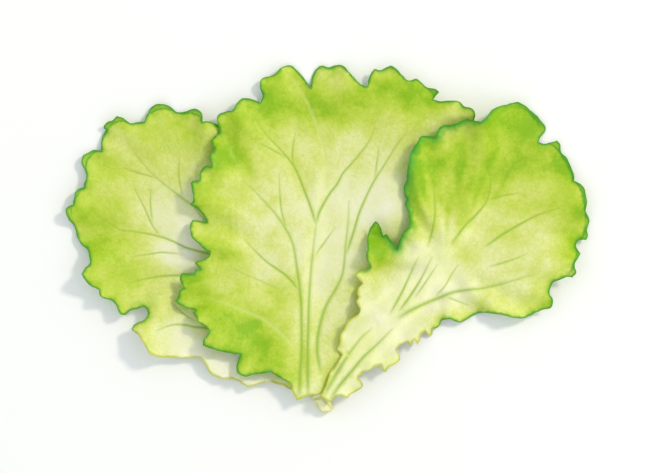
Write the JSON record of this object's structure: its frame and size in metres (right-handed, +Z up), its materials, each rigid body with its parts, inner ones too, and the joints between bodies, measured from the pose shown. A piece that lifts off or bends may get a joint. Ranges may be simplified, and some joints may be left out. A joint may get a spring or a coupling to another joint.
{
  "type": "lettuce leaf fan",
  "caption": "Open lettuce: broad ruffled leaves fanned over one another, inner face up, stalks meeting on a scrap of cut heel; lies flat as food, market or kitchen dressing.",
  "frame": {"origin": "middle of the fan's bounding box, on the surface it lies on", "axes": "+X to the right across the fan, +Y from the heel to the leaf tips, +Z up from the table"},
  "size_m": [0.3148, 0.209, 0.0194],
  "materials": {
    "leaf": "satin, fresh leaf tissue",
    "heel": "matt, moist cut stem"
  },
  "bodies": {
    "root": {"leaf_left": "leaf", "leaf_centre": "leaf", "leaf_right": "leaf", "heel": "heel"}
  },
  "joints": []
}
